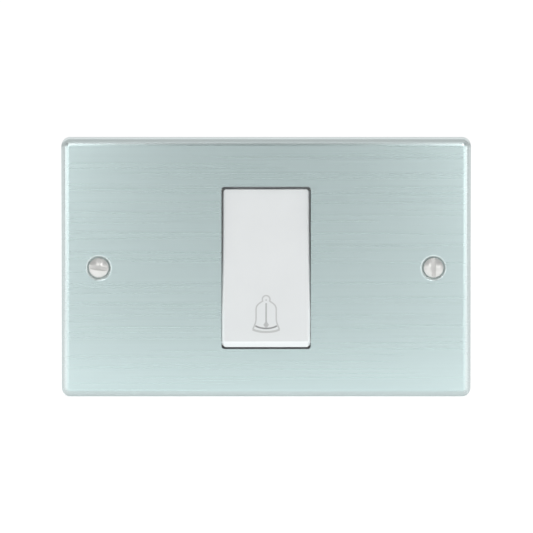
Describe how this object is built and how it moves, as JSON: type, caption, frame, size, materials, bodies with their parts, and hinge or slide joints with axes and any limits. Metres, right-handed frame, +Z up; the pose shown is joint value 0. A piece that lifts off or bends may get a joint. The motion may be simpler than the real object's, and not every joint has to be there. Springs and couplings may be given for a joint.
{
  "type": "doorbell push button",
  "caption": "Landscape brushed steel wall plate with a white sprung press rocker in a switch module, held by slotted screws; pressing the rocker's lower end closes a bell circuit.",
  "frame": {"origin": "midpoint between the two fixing screws, in the wall plane that the plate's rim rests on", "axes": "+X to the right as seen from the front, +Z up, +Y into the wall; the front faces -Y"},
  "size_m": [0.118, 0.0353, 0.0746],
  "materials": {
    "brushed_stainless": "brushed along the width, satin",
    "nickel_screw": "bright nickel plate",
    "fibre": "pressed red fibre",
    "zinc_steel": "bright zinc plate",
    "earth_brass": "bright brass",
    "housing_plastic": "moulded thermoset, satin",
    "rocker_plastic": "moulded, gloss white",
    "nylon": "natural nylon",
    "spring_steel": "drawn spring wire",
    "bronze": "rolled phosphor bronze",
    "contact_silver": "silver alloy",
    "terminal_brass": "extruded brass",
    "terminal_screw": "zinc plated steel"
  },
  "bodies": {
    "base": {"cover_plate": "brushed_stainless", "fixing_screws": "nickel_screw", "screw_retainers": "fibre", "yoke": "zinc_steel", "earth_screw": "earth_brass", "earth_washer": "earth_brass", "module_housing": "housing_plastic", "retaining_frame": "housing_plastic", "return_spring": "spring_steel", "fixed_contact_tip": "contact_silver", "switched_terminal": "terminal_brass", "common_terminal": "terminal_brass", "terminal_screws": "terminal_screw"},
    "rocker": {"rocker": "rocker_plastic", "plunger_spring": "spring_steel"},
    "plunger": {"plunger": "nylon"},
    "blade": {"contact_blade": "bronze", "moving_contact_tip": "contact_silver"}
  },
  "joints": [
    {"name": "rocker_press", "type": "hinge", "parent": "base", "child": "rocker", "pos_m": [0, 0, 0], "axis": [1, 0, 0], "range_deg": [0, 9], "stiffness_Nm_per_rad": 0.08, "springref_deg": -4.01, "deforming": ["return_spring"]},
    {"name": "plunger_slide", "type": "slide", "parent": "rocker", "child": "plunger", "axis": [0, -0.9969, 0.0785], "range_m": [0, 0.0004], "stiffness_N_per_m": 15, "springref_m": -0.0003, "deforming": ["plunger_spring"]},
    {"name": "contact_rock", "type": "hinge", "parent": "base", "child": "blade", "pos_m": [0, 0.00965, 0], "axis": [1, 0, 0], "range_deg": [-12, 0]}
  ],
  "couplings": [
    {"joint": "contact_rock", "follows": "rocker_press", "ratio": -1.3333}
  ]
}
